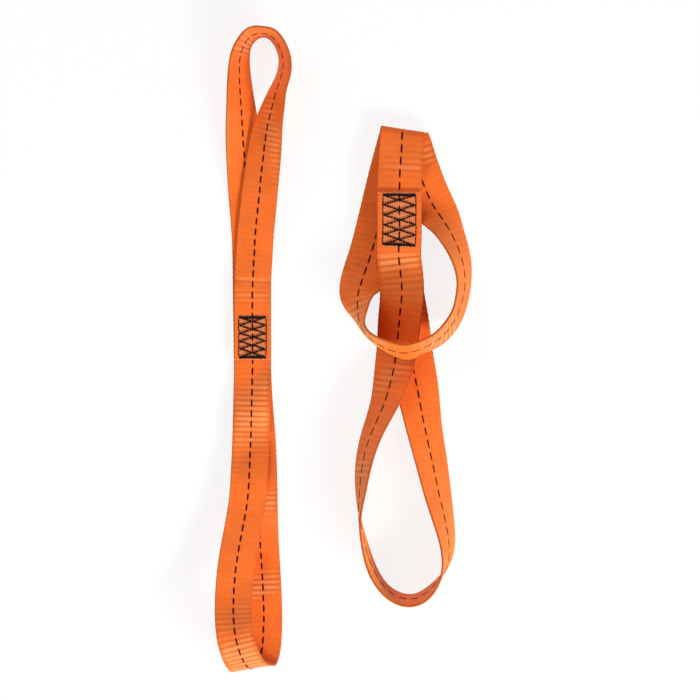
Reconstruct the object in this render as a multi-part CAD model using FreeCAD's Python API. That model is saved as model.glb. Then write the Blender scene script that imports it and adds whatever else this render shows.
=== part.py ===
"""A pair of endless flat webbing slings: one laid out straight, one choked through itself.

Each sling is one length of woven polyester webbing whose two ends are lapped and sewn into a
loop.  Millimetres, +Z up, both slings resting on Z = 0 with the origin under their middle.
"""
import FreeCAD, Part
import math
import os

Vector = FreeCAD.Vector

# Webbing
THICKNESS = 1.5          # of one ply
PLY_GAP = 0.3            # between plies that lie on each other
STRAIGHT_WIDTH = 25.0
HITCHED_WIDTH = 30.0
STRAIGHT_LENGTH = 436.0  # end to end as it lies
HITCHED_LENGTH = 325.0   # end to end as it lies
STRAIGHT_DRAWN = (436.0, 25.0)  # length and width that the straight route below is written for
HITCHED_DRAWN = (325.0, 30.0)   # length and width that the hitched route below is written for
STRAIGHT_PLACE = Vector(-61.3, 7.65, 0.0)  # middle of the straight sling's seam
HITCHED_PLACE = Vector(37.7, 86.65, 0.0)   # middle of the hitched sling's seam

# Tracer yarn inlaid along the middle of both faces
TRACER_WIDTH = 1.0
TRACER_DEPTH = 0.25
TRACER_PLAY = 0.03       # between the yarn and its channel

# Sewn seam
SEAM_SHARE = 0.74        # of the webbing's width that the stitching spans
STRAIGHT_SEAM = 29.0     # length of the stitched box
HITCHED_SEAM = 35.5
SEAM_OVERRUN = 0.75      # webbing left past the box where its outer end is cut
THREAD = 0.6             # width of a sewn thread
THREAD_HEIGHT = 0.45     # of a thread lying on its ply
THREAD_SEAT = 0.05       # between a thread and the nominal face that it is drawn down on
BAR_WIDTH = 2.0          # of the bar tack across each end of the seam
BAR_HEIGHT = 0.6
ZIGZAG_TURNS = 5         # times that the two zigzags cross
SEAL_LENGTH = 1.2        # of the melted bead on a cut end
SEAL_SWELL = 0.1         # that the bead stands proud of the ply, all round

# Folds where an end of a sling lifts
FOLD_GAP = 0.6
STRAIGHT_FAR_FOLD = 44.0
STRAIGHT_NEAR_FOLD = -44.0
HITCHED_FOLD = 24.0

SECTIONS = 5             # from one point of a route to the next
STRAIGHT_MIDDLE_ROW = 2  # row of each route that lies at the middle of its seam
HITCHED_MIDDLE_ROW = 3
PITCH = THICKNESS + PLY_GAP
RESTING = 0.1            # an underside edge this near to the surface lies on it

# A route's length changes with the sling's, and its breadth and heights with the webbing's width.
STRAIGHT_STRETCH = STRAIGHT_LENGTH / STRAIGHT_DRAWN[0]
STRAIGHT_RISE = STRAIGHT_WIDTH / STRAIGHT_DRAWN[1]
HITCHED_STRETCH = HITCHED_LENGTH / HITCHED_DRAWN[0]
HITCHED_RISE = HITCHED_WIDTH / HITCHED_DRAWN[1]
STRAIGHT_CUT = (STRAIGHT_SEAM / 2 + SEAM_OVERRUN) / STRAIGHT_STRETCH
HITCHED_CUT = (HITCHED_SEAM / 2 + SEAM_OVERRUN) / HITCHED_STRETCH

# Routes: x and y of the webbing's middle, the plies below it, the height of its lower edge over
# those plies, and the azimuth and tilt of the webbing's width, in degrees.
STRAIGHT_ROUTE = [
    # under ply of the seam, then the front leg
    (0, 36, 1, 0.6, 0, 0), (0, 18.5, 1, 0.6, 0, 0), (0, 0, 1, 0.6, 0, 0), (0, -18, 1, 0.6, 0, 0),
    (-0.5, -42.5, 1, 0.3, 0, 0), (-1, -66, 1, 1.4, 0, 0), (-2, -90, 1, 4.2, 0, 0),
    (-3.5, -111.5, 1, 8.2, 0, 0), (-7.5, -134.5, 1, 13.7, 0, 0), (-11, -156, 1, 19.2, 0, 0),
    (-12.5, -178, 1, 23.7, 0, 0), (-11.5, -198, 1, 25.2, 3, 0), (-7, -214.5, 0, 22, 7, 0),
    # crest of the near eye, then the back leg
    (-1, -222.5, 0, 13, 9.6, 0), (4.5, -217, 0, 4.5, 6, 0), (7, -205, 0, 1.2, 3, 0),
    (7.5, -186, 0, 0, 0, 0), (6.5, -161.5, 0, 0, 0, 0), (5, -134.5, 0, 0, 0, 0),
    (4.5, -110, 0, 0, 0, 0), (3.5, -76.5, 0, 0, 0, 0), (1.5, -49.5, 0, 0, 0, 0),
    (0, -22.5, 0, 0, 0, 0), (-0.5, 4.5, 0, 0, 0, 0), (-1, 35, 0, 0, 0, 0),
    (-1.5, 65.5, 0, 0, 0, 0), (-3.5, 92.5, 0, 0, 0, -3), (-5.5, 119.5, 0, 0, 0, -12),
    # far eye, on edge round its end
    (-7, 140, 0, 0, 0, -26), (-8, 155, 0, 0, 0, -40), (-9, 171, 0, 0, 0, -50),
    (-9, 186, 0, 0, 0, -58), (-6.5, 196.5, 0, 0, 0, -64), (-0.5, 204, 0, 0, -45, -70),
    (7, 207, 0, 0, -90, -77), (13.5, 205, 0, 0, -100, -86), (18.5, 198, 0, 0, 0, -79),
    (21.5, 187.5, 0, 0, 0, -72), (20.5, 176.5, 0, 0.5, 0, -66), (17, 166.5, 0, 1.2, 0, -61),
    # over the back leg and onto the seam as its face ply
    (14, 155.5, 1, 0, 0, -51), (11, 143.5, 1, 0.2, 0, -40), (8.5, 128, 1, 0.2, 0, -28),
    (6, 107.5, 1, 0.2, 0, -21), (4, 89, 1, 0.2, 0, -18), (2, 71, 1, 0.3, 0, -12),
    (1, 55, 1, 0.8, 0, -6), (0, 36, 2, 0.6, 0, 0), (0, 18.5, 2, 0.6, 0, 0),
    (0, 0, 2, 0.6, 0, 0), (0, -STRAIGHT_CUT, 2, 0.6, 0, 0),
]
HITCHED_ROUTE = [
    # under ply of the seam, then up to the outer bight
    (-0.5, -35, 3, 8.3, 0, 0), (-0.5, -24.5, 3, 8.5, 0, 0), (0, -12, 3, 8.5, 0, 0),
    (0, 3, 3, 8.5, 0, 0), (0, HITCHED_CUT, 3, 8.5, 0, 0), (0.5, 33, 3, 7.2, 0, 0), (1.5, 47.5, 3, 4.8, 0, 0),
    (2, 58, 3, 2.4, -8.8, 0), (2.5, 61, 2, 0.6, -8.8, 0), (1.5, 57, 0, 0.4, -9, 0),
    # down the left side, turning on edge
    (-1.5, 46, 0, 0, -11, 0), (-7, 25, 0, 0, -14, 0), (-12, 4, 0, 0, -14, 1),
    (-16, -12, 0, 0, -14, 4), (-19.5, -24.5, 0, 0, -15, 8), (-22.7, -34, 0, 0, -16, 9),
    (-25.2, -43, 0, 0, -16, 14), (-27, -51.5, 0, 0, -12, 35), (-27, -60.5, 0, 0, 0, 57),
    # choke band, across both legs
    (-23.5, -69.5, 0, 0, 25, 69), (-17.5, -77.5, 0, 2, 45, 74), (-9.5, -83.5, 0, 6.5, 70, 75),
    (-0.5, -87, 0, 12.5, 90, 75), (9, -86.8, 0, 16.6, 95, 75), (18.5, -84, 0, 15.5, 110, 75),
    (27.3, -78.5, 0, 10.5, 128, 74), (34.2, -71, 0, 5.5, 140, 74), (39.2, -62, 0, 2, 155, 74),
    # up the right side to the inner bight
    (42.2, -51.5, 0, 0.5, 170, 73), (43, -40, 0, 0, 180, 71), (40.7, -26.5, 0, 0, 190, 65),
    (35.5, -14, 0, 0, 205, 49), (29.5, -3.5, 0, 0, 207, 26), (23.5, 7.5, 0, 0.9, 207, 15),
    (18.5, 18.5, 1, 1.1, 204, 7), (14, 29, 2, 0.5, 202, 3), (10, 39, 2, 0.8, 199, 0),
    (7, 46, 2, 0.8, 194, 0), (5.4, 49.4, 2, 0.7, 193, -1), (4.7, 50.8, 1, 1.7, 193, -2),
    (4.2, 49.4, 1, 0.6, 193, -2), (3.4, 45, 1, 0.3, 190, 0),
    # down under the seam and on to the lower eye
    (2, 36.5, 1, 0.2, 180, 0), (1, 25.5, 1, 0.1, 178, 0), (0, 11, 1, 0.1, 178, 1),
    (-0.5, -7, 0, 1.2, 180, 8), (0, -24.5, 0, 0.3, 180, 18), (1.5, -40, 0, 0.2, 180, 23),
    (3.5, -57, 0, 0, 180, 14), (6, -74.5, 0, 0, 180, 3), (8, -91.5, 0, 0, 180, 1),
    (11, -108, 0, 0, 180, 11), (14, -125, 0, 0, 180, 26), (17.5, -143.5, 0, 0, 180, 36),
    (21.5, -162, 0, 0, 180, 43), (25.5, -182, 0, 0, 180, 51), (29.5, -200, 0, 0, 180, 61),
    # lower eye, on edge round its end
    (32.5, -217.5, 0, 0, 180, 71), (31.5, -232, 0, 0, 180, 81), (26, -243.5, 0, 0, -60, 86),
    (17, -253.5, 0, 0, -60, 76), (6.5, -257, 0, 0, -90, 73), (-4.5, -253.5, 0, 0, -115, 73),
    (-13, -245, 0, 0, -140, 74), (-19.5, -232.5, 0, 0, -150, 76), (-24, -217.5, 0, 0, -165, 81),
    (-26.5, -201.5, 0, 0, 0, 89), (-26, -184, 0, 0, 0, 76), (-24.5, -167.5, 0, 0, 0, 69),
    (-20.5, -150, 0, 0, 0, 64), (-14.5, -135, 0, 0, 0, 58), (-9, -121.5, 0, 0, 0, 49),
    # under the choke band and up onto the seam as its face ply
    (-5.5, -109, 0, 0, 0, 39), (-2.5, -95.5, 0, 0, 0, 27), (-1, -82, 0, 0.8, 0, 24),
    (0, -68.5, 0, 6.5, 0, 20), (1.4, -55.5, 0, 12.6, 0, 14), (1.6, -44, 4, 8.1, 0, 7),
    (0.5, -32.5, 4, 8.5, 0, 1), (-0.5, -21.5, 4, 8.5, 0, 0), (0, -10, 4, 8.5, 0, 0),
    (0, 4.5, 4, 8.5, 0, 0), (0, HITCHED_CUT, 4, 8.5, 0, 0),
]


def controls(points):
    """Control points of the smooth line that runs through these points."""
    held = list(points)
    for _ in range(4):
        before = [held[0] * 2 - held[1]] + held[:-1]
        after = held[1:] + [held[-1] * 2 - held[-2]]
        held = [h + p - (a + h * 4 + b) * (1 / 6) for h, p, a, b in zip(held, points, before, after)]
    return [held[0] * 2 - held[1]] + held + [held[-1] * 2 - held[-2]]


def on_line(line, at):
    """Position and direction on a line of control points, at a row number."""
    row = min(int(at), len(line) - 4)
    u = at - row
    a, b, c, d = line[row:row + 4]
    place = (a * (1 - u) ** 3 + b * (3 * u ** 3 - 6 * u ** 2 + 4)
             + c * (3 * u + 3 * u ** 2 - 3 * u ** 3 + 1) + d * u ** 3) * (1 / 6)
    way = (b * (3 * u ** 2 - 4 * u) - a * (1 - u) ** 2 + c * (1 + 2 * u - 3 * u ** 2) + d * u ** 2) * 0.5
    return place, way


def sling_lines(route, width, stretch, rise, place):
    """Smooth lines of the webbing's middle and of the direction of its width, with that width."""
    middles, sides = [], []
    for x, y, plies, lift, azimuth, tilt in route:
        turn, lean = math.radians(azimuth), math.radians(tilt)
        edge = width / 2 * abs(math.sin(lean)) + THICKNESS / 2 * abs(math.cos(lean))
        middles.append(Vector(x * rise, y * stretch, plies * PITCH + lift * rise + edge) + place)
        sides.append(Vector(math.cos(turn) * math.cos(lean), math.sin(turn) * math.cos(lean), math.sin(lean)))
    return controls(middles), controls(sides), width


def section(lines, at):
    """Middle of the webbing, its directions across and out, with its lower edge on or over Z = 0."""
    middle, way = on_line(lines[0], at)
    across = on_line(lines[1], at)[0]
    way.normalize()
    across = across - way * ((1 - way.z ** 2) * across.dot(way))
    across.normalize()
    out = way.cross(across)
    across, out = across * (1 / out.Length), out * (1 / out.Length)
    seated = lines[2] / 2 * abs(across.z) + THICKNESS / 2 * abs(out.z)
    middle.z = max(middle.z, seated)
    return middle, across, out


def corner(lines, at, u, v):
    """Point of the webbing at a row, u across and v out from its middle."""
    middle, across, out = section(lines, at)
    return middle + across * u + out * v


def meet(lines, end, u, v):
    """Row where one edge of the webbing ends: at a row, or where it meets a fold beside that row."""
    row, fold = end
    if fold is None:
        return row
    low, high = row - 1.0, row + 1.0
    rising = corner(lines, high, u, v).y > corner(lines, low, u, v).y
    for _ in range(40):
        middle = (low + high) / 2
        if (corner(lines, middle, u, v).y > fold) == rising:
            high = middle
        else:
            low = middle
    return low


def edge_points(lines, first, last, u, v):
    """Points along one long edge of the webbing, on Z = 0 where a whole underside edge rests there."""
    count = max(3, round((last[0] - first[0]) * SECTIONS))
    start, stop = meet(lines, first, u, v), meet(lines, last, u, v)
    points = [corner(lines, start + (stop - start) * i / count, u, v) for i in range(count + 1)]
    if abs(v) == THICKNESS / 2 and max(point.z for point in points) < RESTING:
        points = [Vector(point.x, point.y, 0) for point in points]
    return points


def strip(curve, beside):
    """Face between two long edges of the webbing: a plane where both rest on Z = 0."""
    ends = curve.StartPoint, curve.EndPoint, beside.StartPoint, beside.EndPoint
    if any(end.z > 0 for end in ends):
        return curve.makeRuledSurface(beside).toShape()
    return Part.Face(Part.Wire([curve.toShape(), Part.makeLine(ends[1], ends[3]), beside.toShape(),
                                Part.makeLine(ends[2], ends[0])]))


def run(lines, first, last, profile):
    """Solid of a cross-section carried along the webbing from one end to another."""
    edges, caps = [], ([], [])
    for u, v in profile:
        points = edge_points(lines, first, last, u, v)
        curve = Part.BSplineCurve()
        curve.interpolate(points)
        edges.append(curve)
        caps[0].append(points[0])
        caps[1].append(points[-1])
    faces = [strip(curve, beside) for curve, beside in zip(edges, edges[1:] + edges[:1])]
    faces += [Part.Face(Part.makePolygon(cap + cap[:1])) for cap in caps]
    shell = Part.Compound(faces)
    shell.sewShape(0.001)
    solid = Part.Solid(shell.Shells[0])
    if solid.Volume < 0:
        solid.reverse()
    return solid


def webbing_profile(width):
    """Cross-section of the webbing, with a channel for the tracer yarn in both faces."""
    half, face = width / 2, THICKNESS / 2
    side = TRACER_WIDTH / 2
    floor = face - TRACER_DEPTH
    return [(-half, -face), (-side, -face), (-side, -floor), (side, -floor), (side, -face), (half, -face),
            (half, face), (side, face), (side, floor), (-side, floor), (-side, face), (-half, face)]


def tracer_profile(sign):
    """Cross-section of the tracer yarn in one face."""
    side = TRACER_WIDTH / 2 - TRACER_PLAY
    low = sign * (THICKNESS / 2 - TRACER_DEPTH + TRACER_PLAY)
    high = sign * (THICKNESS / 2 - TRACER_PLAY)
    return [(-side, low), (side, low), (side, high), (-side, high)]


def export(shape, node):
    """Write one node, checking that its solids are sound."""
    solids = shape.Solids
    good = shape.isValid() and solids and all(solid.Volume > 0 for solid in solids)
    print(node, len(solids), "solids", round(sum(solid.Volume for solid in solids), 1), "mm3",
          "" if good else "NOT VALID")
    shape.exportStep("parts/%s.step" % node)


def span(name, lines, width, first, last):
    """One span of webbing and its tracer yarn. An end is a row and the fold beside it, if any."""
    export(run(lines, first, last, webbing_profile(width)), name)
    yarns = [run(lines, first, last, tracer_profile(sign)) for sign in (1, -1)]
    export(Part.Compound(yarns), name + "_tracer")


def stitch(start, end, width, height):
    """One straight stretch of thread with round ends."""
    way = (end - start).normalize()
    side = Vector(-way.y, way.x, 0) * (width / 2)
    ahead = way * (width / 2)
    outline = [Part.makeLine(start - side, end - side), Part.Arc(end - side, end + ahead, end + side).toShape(),
               Part.makeLine(end + side, start + side),
               Part.Arc(start + side, start - ahead, start - side).toShape()]
    return Part.Face(Part.Wire(outline)).extrude(Vector(0, 0, height))


def thread(points, width, height, level, up):
    """Sewn thread laid through these points on a ply at a level."""
    legs = [stitch(a, b, width, height) for a, b in zip(points, points[1:])]
    whole = legs[0]
    for leg in legs[1:]:
        whole = whole.fuse(leg)
    whole.translate(Vector(0, 0, level + THREAD_SEAT if up > 0 else level - THREAD_SEAT - height))
    return whole


def seam_threads(width, length, level, up):
    """Zigzags, side rows and bar tacks of one face of the seam."""
    half = SEAM_SHARE * width / 2
    reach = length / 2
    rise = (length - BAR_WIDTH) / ZIGZAG_TURNS
    turns = [(i, reach - BAR_WIDTH / 2 - i * rise) for i in range(ZIGZAG_TURNS + 1)]
    zigzags = []
    for side in (1, -1):
        points = [Vector(side * (half - THREAD) * (-1) ** i, y, 0) for i, y in turns]
        zigzags.append(thread(points, THREAD, THREAD_HEIGHT, level, up))
    crossed = zigzags[0].fuse(zigzags[1])
    row_end = reach - BAR_WIDTH - THREAD
    rows = [thread([Vector(side * half, -row_end, 0), Vector(side * half, row_end, 0)],
                   THREAD, THREAD_HEIGHT, level, up) for side in (1, -1)]
    bar_end = half - BAR_WIDTH / 2 + THREAD / 2
    tacks = [thread([Vector(-bar_end, side * (reach - BAR_WIDTH / 2), 0),
                     Vector(bar_end, side * (reach - BAR_WIDTH / 2), 0)],
                    BAR_WIDTH, BAR_HEIGHT, level, up) for side in (1, -1)]
    for tack in tacks:
        crossed = crossed.cut(tack)
    return crossed, rows, tacks


def seam(name, lines, row, length, place):
    """Needle threads on the face of the seam and bobbin threads on its back, at a row of its under ply."""
    back = section(lines, row)[0].z - THICKNESS / 2
    zigzags, rows, tacks = seam_threads(lines[2], length, back + PITCH + THICKNESS, 1)
    back_zigzags, back_rows, back_tacks = seam_threads(lines[2], length, back, -1)
    pieces = {
        "zigzag_thread": Part.Compound(zigzags.Solids),
        "side_row_thread": Part.Compound(rows),
        "bar_tack_thread": Part.Compound(tacks),
        "bobbin_thread": Part.Compound(back_zigzags.Solids + back_rows + back_tacks),
    }
    for piece, shape in pieces.items():
        shape.translate(place)
        export(shape, "%s_%s" % (name, piece))


def seal(name, lines, width, at):
    """Melted bead that locks the yarns at a cut end of the webbing."""
    middle, across, out = section(lines, at)
    way = across.cross(out) * (-1 if at == 0 else 1)
    way.normalize()
    half, face = width / 2, THICKNESS / 2 + SEAL_SWELL
    corners = [middle - across * half - out * face, middle + across * half - out * face,
               middle + across * half + out * face, middle - across * half + out * face]
    bead = Part.Face(Part.makePolygon(corners + corners[:1])).extrude(way * SEAL_LENGTH)
    long_edges = [edge for edge in bead.Edges if edge.Length > width - 0.1
                  and (edge.CenterOfMass - middle).dot(way) > SEAL_LENGTH / 2]
    export(bead.makeFillet(min(SEAL_LENGTH, face) * 0.8, long_edges), name)


def straight_sling():
    """Sling laid out straight, its far eye on edge and its near eye folded over."""
    width = STRAIGHT_WIDTH
    lines = sling_lines(STRAIGHT_ROUTE, width, STRAIGHT_STRETCH, STRAIGHT_RISE, STRAIGHT_PLACE)
    end = len(STRAIGHT_ROUTE) - 1
    near = STRAIGHT_PLACE.y + STRAIGHT_NEAR_FOLD * STRAIGHT_STRETCH
    far = STRAIGHT_PLACE.y + STRAIGHT_FAR_FOLD * STRAIGHT_STRETCH
    gap = FOLD_GAP / 2
    span("straight_under_ply", lines, width, (0, None), (4, near + gap))
    span("straight_near_eye", lines, width, (4, near - gap), (21, near - gap))
    span("straight_back_leg", lines, width, (21, near + gap), (24, far - gap))
    span("straight_far_eye", lines, width, (24, far + gap), (46, far + gap))
    span("straight_face_ply", lines, width, (46, far - gap), (end, None))
    seam("straight", lines, STRAIGHT_MIDDLE_ROW, STRAIGHT_SEAM, STRAIGHT_PLACE)
    seal("straight_under_seal", lines, width, 0)
    seal("straight_face_seal", lines, width, end)


def hitched_sling():
    """Sling choked through its own bight, its lower eye standing on edge."""
    width = HITCHED_WIDTH
    lines = sling_lines(HITCHED_ROUTE, width, HITCHED_STRETCH, HITCHED_RISE, HITCHED_PLACE)
    end = len(HITCHED_ROUTE) - 1
    fold = HITCHED_PLACE.y + HITCHED_FOLD * HITCHED_STRETCH
    gap = FOLD_GAP / 2
    span("hitched_under_ply", lines, width, (0, None), (4.5, fold - gap))
    span("hitched_outer_bight", lines, width, (4.5, fold + gap), (11, fold + gap))
    span("hitched_choke_band", lines, width, (11, fold - gap), (34.5, fold - gap))
    span("hitched_inner_bight", lines, width, (34.5, fold + gap), (43, fold + gap))
    span("hitched_long_leg", lines, width, (43, fold - gap), (52, None))
    span("hitched_lower_eye", lines, width, (52, None), (71, None))
    span("hitched_face_ply", lines, width, (71, None), (end, None))
    seam("hitched", lines, HITCHED_MIDDLE_ROW, HITCHED_SEAM, HITCHED_PLACE)
    seal("hitched_under_seal", lines, width, 0)
    seal("hitched_face_seal", lines, width, end)


os.makedirs("parts", exist_ok=True)
straight_sling()
hitched_sling()
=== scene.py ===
import bpy
import numpy as np
from mathutils import Matrix, Vector


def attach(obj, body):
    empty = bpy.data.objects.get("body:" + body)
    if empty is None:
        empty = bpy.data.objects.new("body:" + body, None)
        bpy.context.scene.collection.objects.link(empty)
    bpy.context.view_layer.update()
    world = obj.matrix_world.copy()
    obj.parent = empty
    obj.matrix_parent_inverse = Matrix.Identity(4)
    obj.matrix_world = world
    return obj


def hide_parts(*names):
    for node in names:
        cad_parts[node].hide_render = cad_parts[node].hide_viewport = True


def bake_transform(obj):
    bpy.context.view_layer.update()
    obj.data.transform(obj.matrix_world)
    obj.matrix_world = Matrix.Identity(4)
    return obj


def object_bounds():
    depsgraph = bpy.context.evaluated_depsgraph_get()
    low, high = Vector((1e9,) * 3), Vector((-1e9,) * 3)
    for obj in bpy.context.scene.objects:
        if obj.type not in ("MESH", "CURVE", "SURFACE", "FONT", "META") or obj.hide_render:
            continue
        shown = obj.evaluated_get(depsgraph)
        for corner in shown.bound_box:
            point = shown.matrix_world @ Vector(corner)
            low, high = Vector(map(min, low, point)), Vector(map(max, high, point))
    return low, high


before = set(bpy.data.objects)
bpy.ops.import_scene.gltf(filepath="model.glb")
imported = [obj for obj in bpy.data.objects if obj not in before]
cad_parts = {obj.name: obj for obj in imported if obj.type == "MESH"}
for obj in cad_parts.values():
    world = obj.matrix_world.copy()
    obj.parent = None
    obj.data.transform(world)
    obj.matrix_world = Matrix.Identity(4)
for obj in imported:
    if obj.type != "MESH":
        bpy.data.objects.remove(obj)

cad_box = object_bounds()
bpy.ops.object.select_all(action="DESELECT")

# ---------------------------------------------------------------- daylight table
# A white table by a wide low window on the near side, with a soft sky and a weaker lamp beyond.
# The camera hangs straight over the two slings on a long lens, as for a catalogue.
CAMERA_HEIGHT = 3.5
CAMERA_RANGE = 20
VIEW_WIDTH = 0.4732
VIEW_SHIFT = Vector((0.0045, -0.0009, 0))
TABLE_SIZE = 6
TABLE_LEVEL = -0.0003
TABLE_PAINT = (0.8, 0.8, 0.8, 1)
TABLE_SEEN = (0.18, 0.18, 0.18, 1)
TABLE_GLOW = 0.84
WHITE = (1, 1, 1, 1)
WINDOW_PLACE = Vector((0.95, -1.33, 0.88))
WINDOW_POWER = 40
WINDOW_SIZE = (1.1, 0.25)
LAMP_PLACE = Vector((-0.95, 0.8, 1.05))
LAMP_POWER = 9
LAMP_SIZE = (1.2, 1.2)
SKY = 0.33
SKY_TINT = (1, 0.76, 0.64, 1)


def shade(tree, kind, inputs=None, **settings):
    """A shader node with its settings, and its sockets set to values or joined to other nodes."""
    node = tree.nodes.new("ShaderNode" + kind)
    for name, value in settings.items():
        setattr(node, name, value)
    for socket, value in (inputs or {}).items():
        if isinstance(value, bpy.types.NodeSocket):
            tree.links.new(value, node.inputs[socket])
        else:
            node.inputs[socket].default_value = value
    return node


def ranged(tree, value, low, high, start=0.0, stop=1.0):
    """A value that runs from low to high while the one given runs from start to stop."""
    return shade(tree, "MapRange", {"Value": value, "From Min": start, "From Max": stop,
                                    "To Min": low, "To Max": high}).outputs[0]


def blank_material(name):
    """A new material with nothing in it but its output node."""
    material = bpy.data.materials.new(name)
    material.use_nodes = True
    material.node_tree.nodes.clear()
    return material, material.node_tree, shade(material.node_tree, "OutputMaterial")


def plainly_seen(tree):
    """1 where a surface is seen by the camera, mirrored or seen through glass, else 0."""
    path = shade(tree, "LightPath").outputs
    direct = shade(tree, "Math", {0: path["Is Camera Ray"], 1: path["Is Glossy Ray"]},
                   operation="ADD")
    return shade(tree, "Math", {0: direct.outputs[0], 1: path["Is Transmission Ray"]},
                 operation="ADD", use_clamp=True).outputs[0]


middle = (cad_box[0] + cad_box[1]) / 2
bpy.ops.object.camera_add(location=(middle.x, middle.y, CAMERA_HEIGHT), rotation=(0, 0, 0))
camera = bpy.context.object
camera.location += VIEW_SHIFT
camera.data.lens = camera.data.sensor_width * CAMERA_HEIGHT / VIEW_WIDTH
camera.data.clip_end = CAMERA_RANGE
bpy.context.scene.camera = camera
bpy.context.scene.view_settings.view_transform = "Standard"

# Seen plainly, the table glows nearly white over a darker paint that still takes the shadows.
bpy.ops.mesh.primitive_plane_add(size=TABLE_SIZE, location=(0, 0, TABLE_LEVEL))
table = bpy.context.object
table.name = "table"
table_finish, tree, output = blank_material("white_table")
seen = plainly_seen(tree)
paint = shade(tree, "BsdfDiffuse", {"Color": TABLE_PAINT})
shown = shade(tree, "BsdfDiffuse", {"Color": TABLE_SEEN})
glow = shade(tree, "Emission", {"Color": WHITE, "Strength": TABLE_GLOW})
white = shade(tree, "AddShader", {0: shown.outputs[0], 1: glow.outputs[0]})
surface = shade(tree, "MixShader", {0: seen, 1: paint.outputs[0], 2: white.outputs[0]})
tree.links.new(surface.outputs[0], output.inputs["Surface"])
table.data.materials.append(table_finish)

for place, power, size in ((WINDOW_PLACE, WINDOW_POWER, WINDOW_SIZE),
                           (LAMP_PLACE, LAMP_POWER, LAMP_SIZE)):
    bpy.ops.object.light_add(type="AREA", location=place)
    lamp = bpy.context.object
    lamp.data.shape = "RECTANGLE"
    lamp.data.energy = power
    lamp.data.size, lamp.data.size_y = size
    lamp.rotation_euler = (-place).to_track_quat("-Z", "Y").to_euler()

world = bpy.data.worlds.new("sky")
bpy.context.scene.world = world
world.use_nodes = True
sky = world.node_tree.nodes["Background"]
strength = ranged(world.node_tree, plainly_seen(world.node_tree), SKY, 1)
world.node_tree.links.new(strength, sky.inputs["Strength"])
sky.inputs["Color"].default_value = SKY_TINT

# ---------------------------------------------------------------- straight sling, webbing
# One length of orange polyester webbing, woven with a rib across it at every pick and a smooth
# tubular selvedge down each side. It is modelled flat, as it leaves the loom, and laid along the
# sling's route in two lengths, which meet out of sight under the seam.
PLY = 0.0015
PLY_PITCH = 0.0018
STRAIGHT_WIDTH = 0.025
STRAIGHT_SEAM = 0.029
STRAIGHT_SEAM_AT = (-0.0613, 0.00765)
STRAIGHT_JOIN_ROW = 23
STRAIGHT_UNDER_ROWS = (0, 4)
STRAIGHT_FACE_ROWS = (46, 50)

# A row of a route: x and y from the middle of the seam, how many plies lie below, the lift off
# them, and the turn and lean of the webbing's width in degrees.
STRAIGHT_ROUTE = [
    # under ply of the seam, then the front leg
    (0, 0.036, 1, 0.0006, 0, 0), (0, 0.0185, 1, 0.0006, 0, 0), (0, 0, 1, 0.0006, 0, 0),
    (0, -0.018, 1, 0.0006, 0, 0), (-0.0005, -0.0425, 1, 0.0003, 0, 0),
    (-0.001, -0.066, 1, 0.0006, 0, 0), (-0.002, -0.09, 1, 0.0074, 0, 0),
    (-0.0035, -0.1115, 1, 0.0094, 0, 0), (-0.0075, -0.1345, 1, 0.0122, 0, 0),
    (-0.011, -0.156, 1, 0.0154, 0, 0), (-0.0125, -0.178, 1, 0.0184, 0, 0),
    (-0.0115, -0.198, 1, 0.0268, 3, 0), (-0.007, -0.2145, 0, 0.0262, 7, 0),
    # crest of the near eye, then the back leg
    (-0.001, -0.2225, 0, 0.013, 9.6, 0), (0.0045, -0.217, 0, 0.0045, 6, 0),
    (0.007, -0.205, 0, 0.0024, 3, 0), (0.0075, -0.186, 0, 0.0008, 0, 0),
    (0.0065, -0.1615, 0, 0, 0, 0), (0.005, -0.1345, 0, 0, 0, 0), (0.0045, -0.11, 0, 0, 0, 0),
    (0.0035, -0.0765, 0, 0, 0, 0), (0.0015, -0.0495, 0, 0, 0, 0), (0, -0.0225, 0, 0, 0, 0),
    (-0.0005, 0.0045, 0, 0, 0, 0), (-0.001, 0.035, 0, 0, 0, 0), (-0.0015, 0.0655, 0, 0, 0, 0),
    (-0.0035, 0.0925, 0, 0, 0, -3), (-0.0055, 0.1195, 0, 0, 0, -12),
    # far eye, on edge round its end
    (-0.007, 0.14, 0, 0, 0, -26), (-0.008, 0.155, 0, 0, 0, -40), (-0.009, 0.171, 0, 0, 0, -50),
    (-0.009, 0.186, 0, 0, 0, -58), (-0.0065, 0.1965, 0, 0, 0, -64),
    (-0.0005, 0.204, 0, 0, -45, -70), (0.007, 0.2055, 0, 0, -90, -78),
    (0.0135, 0.2035, 0, 0, -125, -76), (0.0185, 0.197, 0, 0, -160, -74),
    (0.0215, 0.1875, 0, 0, -180, -71), (0.0205, 0.1765, 0, 0.0005, -180, -66),
    (0.017, 0.1665, 0, 0.0012, -180, -61),
    # over the back leg and onto the seam as its face ply
    (0.014, 0.1555, 1, 0.001, -180, -51), (0.011, 0.1435, 1, 0.003, -180, -40),
    (0.0085, 0.128, 1, 0.003, -180, -28), (0.006, 0.1075, 1, 0.0018, -180, -18),
    (0.004, 0.089, 1, 0.0009, -180, -11), (0.002, 0.071, 1, 0.0004, -180, -5),
    (0.001, 0.055, 1, 0.0008, -180, 0), (0, 0.036, 2, 0.0006, -180, 0),
    (0, 0.0185, 2, 0.0006, -180, 0), (0, 0, 2, 0.0006, -180, 0), (0, -0.01525, 2, 0.0006, -180, 0),
]

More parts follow.
